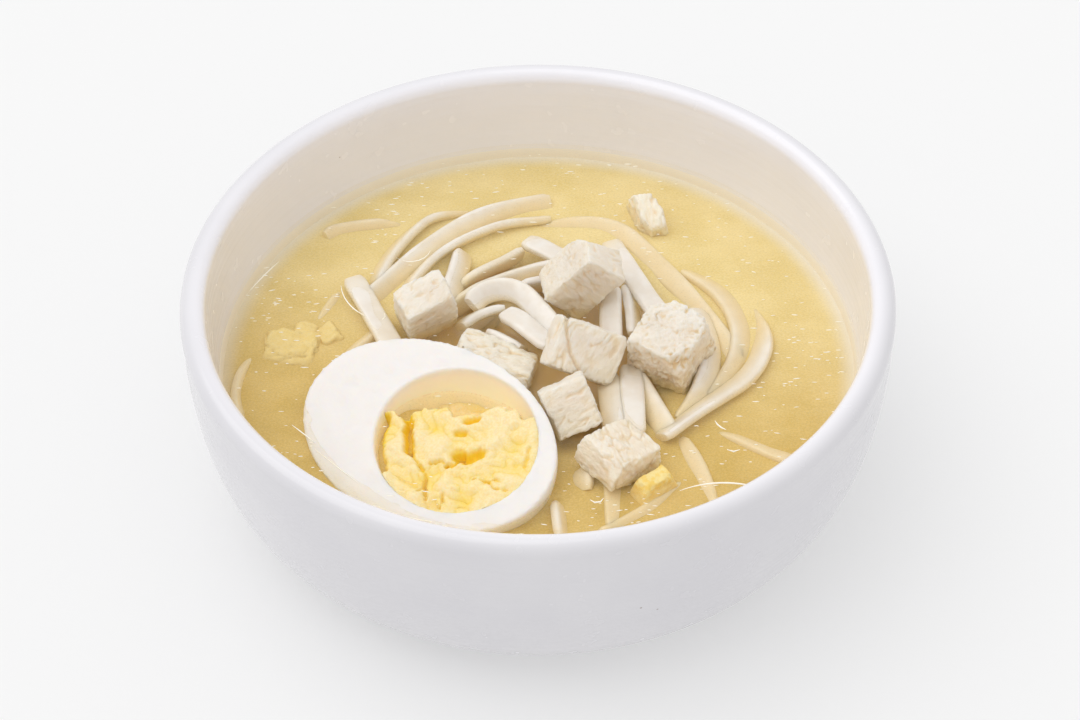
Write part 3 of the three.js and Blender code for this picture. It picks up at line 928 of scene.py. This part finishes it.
# %% The noodles: start, heading, legs of length and turn, three rises, shown width
NOODLE_WIDTH = 5.2
NOODLE_THICKNESS = 2.2
NOODLES = [
    ((-36.2, 23.8), 80, [(21, -30), (14, -45)], (-0.1, -0.1, -2.2), 3.8),
    ((-37, 18.8), 54, [(23, -6), (30, -37)], (-0.3, 0.3, -0.8), 4.2),
    ((-29.2, 23), 63, [(41, -55)], (-0.1, 0.3, -0.7), 3.6),
    ((-41.3, 24.2), -67, [(25, 2)], (0.1, 0.5, 0.0), 5.2),
    ((-16.8, 33.2), -98, [(16, -6)], (-0.2, 0.5, 0.6), 4.4),
    ((-3.6, 33.9), -142, [(20, 0)], (0.3, -0.1, -2.2), 2.4),
    ((4, 27.6), -166, [(26, 24)], (0.8, 0.3, -1.2), 2.6),
    ((-14.6, 14.2), 72, [(15, -128), (14, -8)], (1.8, 2.6, 2.8), 4.2),
    ((-17, 9), 48, [(11, -36)], (0.6, 1.0, 0.6), 3.8),
    ((-7, 11.8), -52, [(15, 4)], (1.2, 2.2, 2.4), 5.2),
    ((-2.4, 36.2), -40, [(15, 4)], (0.2, 0.8, 1.2), 5.2),
    ((-6.6, 39.2), 12, [(7, 14), (14, -38), (9, -42), (45, -14)], (-3.2, -1.3, -1.5), 4.8),
    ((33, 28), -36, [(9, -18), (26, -58), (12, -16)], (-1.6, -0.8, -1.6), 4.6),
    ((46.2, 15.4), -62, [(8, -20), (12, -35), (8, -22), (22, 3)], (-3.0, 0.1, 0.2), 4.6),
    ((16.6, 36), -76, [(14, 10), (14, -4)], (-0.3, 1.4, 2.2), 5.2),
    ((16.2, 19), -93, [(18, 4)], (1.6, 1.7, 1.8), 4.6),
    ((20, 20), -82, [(15, -8)], (0.9, 0.9, 0.9), 3.6),
    ((15.0, -6.5), -88, [(16, 2)], (-0.6, 0.2, 0.1), 4.9),
    ((19.9, -4.5), -90, [(20, 0)], (0.1, 0.7, 0.4), 5.2),
    ((20.4, -6.5), -68, [(18, 0)], (-0.5, -0.3, -0.7), 4.8),
    ((34.5, 13), -66, [(34, -64)], (0.6, 0.4, -2.0), 4.6),
    ((4, 23), -172, [(8, 8)], (1.2, 1.2, 1.0), 2.6),
    ((-10.5, 6.8), -35, [(9, -5)], (0.8, 0.8, 0.8), 4.0),
]
SUNK = [
    ((-48.1, 39.7), 50, [(4, -32), (14, -24)], (-0.8, -0.9, -2.6), 3.2),
    ((37, -20), -38, [(19, 10)], (-3.2, -1.9, -1.5), 4.6),
    ((29, -24.5), -62, [(20, -24)], (-2.2, -1.8, -2.4), 4.8),
    ((15.8, -34), -92, [(15, 3)], (-2.0, -1.8, -2.2), 4.8),
    ((12, -51), 25, [(23, 25)], (-2.2, -1.9, -2.2), 4.0),
    ((4, -43), -88, [(9, 3)], (-0.5, -0.3, -0.6), 3.4),
    ((8.6, -33.4), -86, [(5, 1)], (-0.9, -0.7, -1.4), 4.2),
    ((-61.1, 2.2), -120, [(20, 52)], (-2.8, -1.6, -1.2), 3.0),
    ((-35.5, 10), -128, [(13, 0)], (-1.6, -1.7, -2.4), 4.4),
    ((-43.5, 21), -113, [(11, 0)], (-2.3, -2.0, -2.6), 4.0),
]
print(len(NOODLES), "noodles show and", len(SUNK), "are sunk")

# %% [markdown]
# Under these lie more noodles, which nobody placed one by one. They are drawn from a seeded
# shuffle within the heap, four or more millimetres down, so they only show as faint
# streaks and fill the heap when it is looked at from the side.

# %% The hidden part of the heap
HEAP_Y = 4
HEAP_REACH = 27
STRIDE = 1.5
shuffle = random.Random(7)
BURIED = []
for _ in range(26):
    way = shuffle.uniform(0, 360)
    reach = HEAP_REACH * math.sqrt(shuffle.uniform(0.02, 1))
    x, y = math.cos(math.radians(way)), math.sin(math.radians(way))
    start = (reach * x, HEAP_Y + reach * y)
    heading = way + shuffle.choice((-1, 1)) * shuffle.uniform(70, 140)
    legs = [(shuffle.uniform(22, 40), shuffle.uniform(-90, 90))]
    down = shuffle.uniform(-7.5, -4.2)
    rises = (down - 0.6, down, down - 0.6)
    BURIED.append((start, heading, legs, rises, shuffle.choice((5.2, 4.6, 3.6))))


def walk(start, heading, legs):
    """Points along a noodle's middle line, up to STRIDE millimetres apart."""
    x, y = start
    angle = math.radians(heading)
    line = [(x, y)]
    for length, turn in legs:
        count = math.ceil(length / STRIDE)
        for _ in range(count):
            angle += math.radians(turn) / count / 2
            x += length / count * math.cos(angle)
            y += length / count * math.sin(angle)
            angle += math.radians(turn) / count / 2
            line.append((x, y))
    return line


print(len(BURIED), "more are buried")

# %% [markdown]
# A rise of 0 puts the top of a strip UNDER_FILM below the level, so broth just films it. Its
# ends rise or dive over the first and last share ENDS of its length. The strips could be
# bent from flat meshes, but one curve sweeps them all: its points carry the place, and their
# tilt is the lean.

# %% Sweep them all as one curve
UNDER_FILM = 0.1
ENDS = 0.35


def section_curve():
    """The noodle's cross-section: a flat oblong with soft corners and full faces."""
    data = bpy.data.curves.new("noodle_section", "CURVE")
    spline = data.splines.new("POLY")
    spline.points.add(19)
    for i, point in enumerate(spline.points):
        turn = 2 * math.pi * i / 20
        c, s = math.cos(turn), math.sin(turn)
        x = math.copysign(abs(c) ** 0.5, c) * NOODLE_WIDTH / 2
        y = math.copysign(abs(s) ** 0.65, s) * NOODLE_THICKNESS / 2
        point.co = (x, y, 0, 1)
    spline.use_cyclic_u = True
    return data


def swept(records):
    """All the strips of the records as one bmesh. They sway and twist a little."""
    section = bpy.data.objects.new("section", section_curve())
    scene.collection.objects.link(section)
    data = bpy.data.curves.new("noodles", "CURVE")
    data.dimensions = "3D"
    data.twist_mode = "Z_UP"
    data.bevel_mode = "OBJECT"
    data.bevel_object = section
    data.use_fill_caps = True
    wide, thin = NOODLE_WIDTH, NOODLE_THICKNESS
    for number, (start, heading, legs, (begin, middle, end), shown) in enumerate(records):
        share = (shown ** 2 - thin ** 2) / (wide ** 2 - thin ** 2)
        lean = math.acos(math.sqrt(min(max(share, 0.02), 1)))
        upright = math.hypot(wide * math.sin(lean), thin * math.cos(lean)) / 2
        line = walk(start, heading, legs)
        spline = data.splines.new("POLY")
        spline.points.add(len(line) - 1)
        for i, (point, (x, y)) in enumerate(zip(spline.points, line)):
            part = i / (len(line) - 1)
            height = middle + (begin - middle) * (1 - step(0, ENDS, part))
            height += (end - middle) * step(1 - ENDS, 1, part)
            sway = 0.10 * math.sin(i * 0.5 + number * 2)
            wobble = 0.13 * math.sin(i * 0.23 + number)
            point.co = (x, y, LEVEL + height - UNDER_FILM - upright + sway, 1)
            point.tilt = (lean if number % 2 else -lean) + wobble
            point.radius = 0.8 if i in (0, len(line) - 1) else 1
    shape = evaluated(data, bmesh.new())
    bpy.data.objects.remove(section)
    return shape


heap = swept(NOODLES + SUNK + BURIED)
noodle_tree = BVHTree.FromBMesh(heap)
print("noodles:", len(heap.faces), "faces")

# %% [markdown]
# The body of the heap is a low mound on the bowl's floor. Hundreds of noodles could fill it
# for real, but nobody sees them. It stays well under the level, so that only deep gold shows
# between the noodles.

# %% The mound under the noodles
CROWN = LEVEL - 5.2
mound_line = [(0, 10), (28, 10), (34.5, 15), (34, CROWN - 3), (30, CROWN - 0.8), (20, CROWN)]
mound = spun(mound_line + [(0, CROWN + 0.4)], 96)
for vertex in mound.verts:
    around = math.atan2(vertex.co.y, vertex.co.x)
    uneven = 1 + (2.2 * math.cos(2 * around) + 1.1 * math.cos(5 * around + 1)) / 35
    vertex.co.x *= uneven
    vertex.co.y *= uneven
bmesh.ops.translate(mound, verts=mound.verts, vec=(0, HEAP_Y, 0))
add_to(heap, mound)
tidy(heap)
print("with the mound:", len(heap.faces), "faces")

# %% [markdown]
# Cooked noodle dough is ivory, smooth and wet. Its colour drifts slightly along the strip.
# Low roughness alone would look like plastic, because the dough is dull under its wet film,
# so a thin coat gives the shine of broth running off it.

# %% The finish of the noodles
dough = Finish("cooked_noodle")
ivory = dough.blend(
    dough.grain(3.5, 2).between(0.35, 0.65), (0.84, 0.775, 0.685, 1), (0.88, 0.83, 0.76, 1)
)
dough_shader = dough.body(
    Base_Color=soaked(dough, ivory, 1.45), Roughness=0.3,
    Normal=dough.bump(dough.grain(1.3, 2), 0.05), Coat_Weight=0.5, Coat_Roughness=0.1,
    Subsurface_Weight=0.45, Subsurface_Radius=(1.0, 0.95, 0.85), Subsurface_Scale=0.0014,
)
make_piece("noodle_heap", heap, [dough.done(dough_shader)], "noodles")
trees.append(noodle_tree)

# %% [markdown]
# ## Broth
#
# The broth is one turned solid that fills the bowl. A plain disc would do for a flat surface,
# but this one will be moved, so its top is cut into fine rings, finest over the food and
# near the wall.

# %% Turn the broth
FOOD_REACH = 52.5
NEAR_WALL = 65.7


def circles(first, gap, count, height):
    """A level part of an outline, whose radius grows from first by gap."""
    return [(first + gap * i, height) for i in range(count)]


line = circles(0, 0.45, 116, LEVEL) + circles(FOOD_REACH, 0.9, 15, LEVEL)
line += circles(NEAR_WALL, 0.3, int((SHORE - NEAR_WALL) / 0.3) + 1, LEVEL)
line += [(SHORE + 0.3, LEVEL), (SHORE + 0.4, LEVEL), (SHORE - 0.05, LEVEL - 0.3)]
line += [(r - 0.05, z + 0.05) for r, z in inner_wall() if z < LEVEL - 0.5]
broth = spun(line + [(0, FLOOR_HEIGHT + 0.05)], 384)
print("turned broth:", len(broth.verts), "points")

# %% [markdown]
# Broth climbs a little at the wall and round everything that breaks its surface. That narrow
# slope is what catches the light as a thin line. A fluid simulation would need a very fine
# grid for it. Here each point of the surface climbs more the nearer the next wall or food
# is. Over the egg the surface sinks instead.

# %% How the surface moves
WALL_CLIMB, WALL_SLOPE = 0.9, 1.1
FOOD_CLIMB, FOOD_SLOPE = 0.5, 0.6
to_egg = EGG_PLACE.inverted()


def in_egg(p):
    """How far out a point is from the middle of the egg: 1 is on its shell side."""
    return Vector([2 * a / side for a, side in zip(to_egg @ p, EGG_SIZE)]).length


def surface_shift(p):
    """How far the broth's surface lies over its level at a point."""
    from_wall = SHORE - math.hypot(p.x, p.y)
    lift = WALL_CLIMB * math.exp(-max(from_wall, 0) / WALL_SLOPE)
    for tree in trees:
        food, _, _, away = tree.find_nearest(p, 2.5)
        if food is not None and food.z > LEVEL - 0.25:
            lift = max(lift, FOOD_CLIMB * math.exp(-away / FOOD_SLOPE))
    dip = FACE_DIP * (1 - step(0.82, 1.0, in_egg(p)))
    return lift - dip + 0.05 * noise.noise(Vector((p.x / 6, p.y / 9, 3)))


print("it climbs", WALL_CLIMB, "mm at the wall and", FOOD_CLIMB, "mm at food")

# %% Move the surface, and keep how deep the broth is under it
SEEN_DEPTH = 3.0


def depth_under(p):
    """How much broth lies between a point of the surface and the food, up to SEEN_DEPTH."""
    hits = [tree.ray_cast(p, Vector((0, 0, -1)), SEEN_DEPTH)[3] for tree in trees]
    return min([hit for hit in hits if hit is not None], default=SEEN_DEPTH)


depths = []
for vertex in broth.verts:
    on_top = abs(vertex.co.z - LEVEL) < 0.01
    if on_top:
        vertex.co.z += surface_shift(vertex.co)
    depths.append(depth_under(vertex.co) if on_top else 0.0)
store(broth, "depth", depths)
for face in broth.faces:
    top = face.normal.z > 0.2 and face.calc_center_median().z > LEVEL - 2
    face.material_index = 0 if top else 1
print("broth:", len(broth.faces), "faces")

# %% [markdown]
# Two finishes make the broth. True refraction would be closer to water, but slow and grainy,
# so the surface is a thin film: mostly clear, plus the gloss of water and some cloud, which
# grows with the depth kept on each vertex. The body is what is seen through the film at the
# wall and the floor: white glaze that turns to gold with depth.

# %% The surface
film = Finish("broth_surface")
off_wall = 1 - film.from_axis().between(SHORE - 6, SHORE)
specks = film.grain(0.45, 2).between(0.52, 0.72)
drifts = film.grain(7, 3).between(0.3, 0.7)
deep_enough = film.attribute("depth").between(-0.2, 2.4)
cloud = (drifts * 0.06 + specks * 0.10 + 0.07) * off_wall * deep_enough + 0.03
clear = film.node("ShaderNodeBsdfTransparent", sockets={"Color": (1.0, 0.99, 0.965, 1)})
film_shader = film.body(
    Base_Color=(0.93, 0.76, 0.38, 1), Roughness=0.12, IOR=1.9,
    Normal=film.bump(film.grain(1.1, 3), 0.05),
)
seen = film.node("ShaderNodeMixShader", sockets={0: cloud, 1: clear, 2: film_shader})
film_material = film.done(seen)

# %% The body
wet = Finish("wall_under_broth")
wet_shader = wet.body(
    Base_Color=soaked(wet, (0.93, 0.89, 0.82, 1), 7.0), Roughness=0.8, Specular_IOR_Level=0.1
)
make_piece("broth_filling", broth, [film_material, wet.done(wet_shader)], "broth")

# %% [markdown]
# Fine starch makes broth cloudy a few millimetres down. A volume would be slow here too, so
# the cloud is a second turned solid just under the surface, sunk deeper where noodles lie on
# it. Its gold is painted paler towards the back and darker towards the front, as painted
# light and shade.

# %% The cloudy part
CLOUD_HOLLOW = 4.6
line = circles(0, 1.4, int(SHORE / 1.4), CLOUD) + [(SHORE - 0.2, CLOUD), (SHORE + 0.1, CLOUD)]
line += [(r - 0.12, z + 0.1) for r, z in inner_wall() if z < CLOUD - 0.2]
cloudy = spun(line + [(0, FLOOR_HEIGHT + 0.1)], 128)
for vertex in cloudy.verts:
    p = vertex.co
    if abs(p.z - CLOUD) < 0.01:
        p.z -= CLOUD_HOLLOW * (1 - step(22, 36, math.hypot(p.x, p.y - HEAP_Y)))
        p.z += 0.25 * noise.noise(Vector((p.x / 9, p.y / 9, 1)))
tidy(cloudy)
print("cloud:", len(cloudy.faces), "faces")

# %% The gold of the cloud
gold = Finish("cloudy_broth")
from_wall = gold.from_axis().between(SHORE - 5, SHORE + 0.5)
# painted light and shade: the gold is darker at the front and paler at the back
back_ramp_painted_light = (gold.along(1) + gold.along(0) * 0.2).between(-25, 35)
streaks = gold.grain(8, 4, stretch=(1.6, 1, 1)).between(0.3, 0.7)
fine = gold.grain(0.35, 3, stretch=(1.4, 1, 1)).between(0.35, 0.7)
dark_gold = gold.blend(back_ramp_painted_light, (0.61, 0.42, 0.10, 1), (0.79, 0.635, 0.27, 1))
pale_gold = gold.blend(back_ramp_painted_light, (0.79, 0.585, 0.22, 1), (0.94, 0.80, 0.45, 1))
deep_gold = gold.blend(streaks * 0.5 + fine * 0.5, dark_gold, pale_gold)
gold_colour = gold.blend(from_wall * (back_ramp_painted_light * 0.4 + 0.6), deep_gold, (0.90, 0.86, 0.78, 1))
gold_shader = gold.body(Base_Color=gold_colour, Roughness=0.8, Specular_IOR_Level=0.1)
make_piece("broth_cloud", cloudy, [gold.done(gold_shader)])

# %% [markdown]
# ## Drops of fat and painted glints
#
# Chicken fat floats as tiny flat drops. Their highlights flash as short pale dashes, so each
# drop is stretched along X and painted pale as its own highlight. A particle system could
# scatter them, but a loop can also ask whether a spot is free. About five hundred are drawn
# from the seeded shuffle wherever the broth is open, most of them in three drifts: at the
# left, at the right and in front of the chicken.

# %% Scatter the drops
DROPS = 520
DRIFTS = [((-56, 15), 15), ((55, -4), 18), ((18, -41), 15)]
drops_and_glints = bmesh.new()
count = 0
while count < DROPS:
    reach = (SHORE - 2) * math.sqrt(shuffle.random())
    way = shuffle.uniform(0, 2 * math.pi)
    spot = Vector((reach * math.cos(way), reach * math.sin(way), LEVEL + 0.04))
    nearest = min((spot.xy - Vector(middle)).length / wide for middle, wide in DRIFTS)
    if shuffle.random() > max(0.25, 1.3 - nearest):
        continue
    if any(tree.find_nearest(spot, 1.1)[0] is not None for tree in trees):
        continue
    size = shuffle.uniform(0.13, 0.34)
    made = bmesh.ops.create_icosphere(drops_and_glints, subdivisions=1, radius=1)["verts"]
    bmesh.ops.scale(drops_and_glints, vec=(size * shuffle.uniform(1, 3.2), size * 0.42, 0.07), verts=made)
    turn = Matrix.Rotation(shuffle.gauss(0, 0.12), 3, "Z")
    bmesh.ops.rotate(drops_and_glints, verts=made, matrix=turn)
    bmesh.ops.translate(drops_and_glints, verts=made, vec=spot)
    count += 1
print(count, "drops_and_glints")

# %% [markdown]
# Where the surface bends beside food, and at the waterline on the egg, it catches the light
# in thin lines. These are painted glints: each is a line on the surface that walks like a
# noodle, swept with a hair-thin round section that tapers.

# %% Painted glint threads: start, heading, legs, height over the level and thickness
GLINT_THREADS = [
    ((36.9, -21.8), -76, [(3.5, 51)], 0.1, 0.2),
    ((38.9, -30.1), -47, [(2.9, 92)], 0.1, 0.2),
    ((10.3, -43.8), -64, [(3.6, 147)], 0.1, 0.2),
    ((-43.7, 20.8), -84, [(13.7, 57)], 0.1, 0.15),
    ((-36.3, 9.7), -41, [(4.8, 164)], 0.1, 0.15),
    ((-63.8, 19.4), 63, [(11.1, -8)], 0.1, 0.12),
    ((-51.7, -22), -45, [(6.7, 0)], 0.1, 0.15),
    ((28.6, -41.5), 26, [(18.4, -52)], 0.1, 0.2),
    ((-31.8, 29.9), -46, [(9.8, 126)], 0.1, 0.12),
    ((-48, -26.3), -47, [(15.7, 3)], 0.05 - FACE_DIP, 0.12),
    ((-32.7, -43.9), -34, [(16.7, 36)], 0.05 - FACE_DIP, 0.12),
]
data = bpy.data.curves.new("threads", "CURVE")
data.dimensions = "3D"
data.bevel_depth = 1.0
data.bevel_resolution = 1
data.use_fill_caps = True
for start, heading, legs, over, thick in GLINT_THREADS:
    line = walk(start, heading, legs)
    spline = data.splines.new("POLY")
    spline.points.add(len(line) - 1)
    for i, (point, (x, y)) in enumerate(zip(spline.points, line)):
        point.co = (x, y, LEVEL + over, 1)
        point.radius = thick * (0.3 + 0.7 * math.sin(math.pi * i / (len(line) - 1)))
evaluated(data, drops_and_glints)
tidy(drops_and_glints)
print("drops and threads:", len(drops_and_glints.faces), "faces")

# %% [markdown]
# Fat is clear yellow oil, but drops as thin as these flash almost white. A clear finish would
# need many bounces of light to show that, so drops and threads get a painted highlight: a pale
# finish with a trace of emission.

# %% The finish of the fat: a painted highlight
fat_glint = Finish("fat_painted_glint")
# painted highlight: a pale colour and a trace of emission stand for the flash of light
fat_glint_shader = fat_glint.body(
    Base_Color=(0.98, 0.95, 0.86, 1), Roughness=0.4,
    Emission_Color=(1, 0.97, 0.88, 1), Emission_Strength=0.12,
)
make_piece("fat_drops_and_glints", drops_and_glints, [fat_glint.done(fat_glint_shader)])
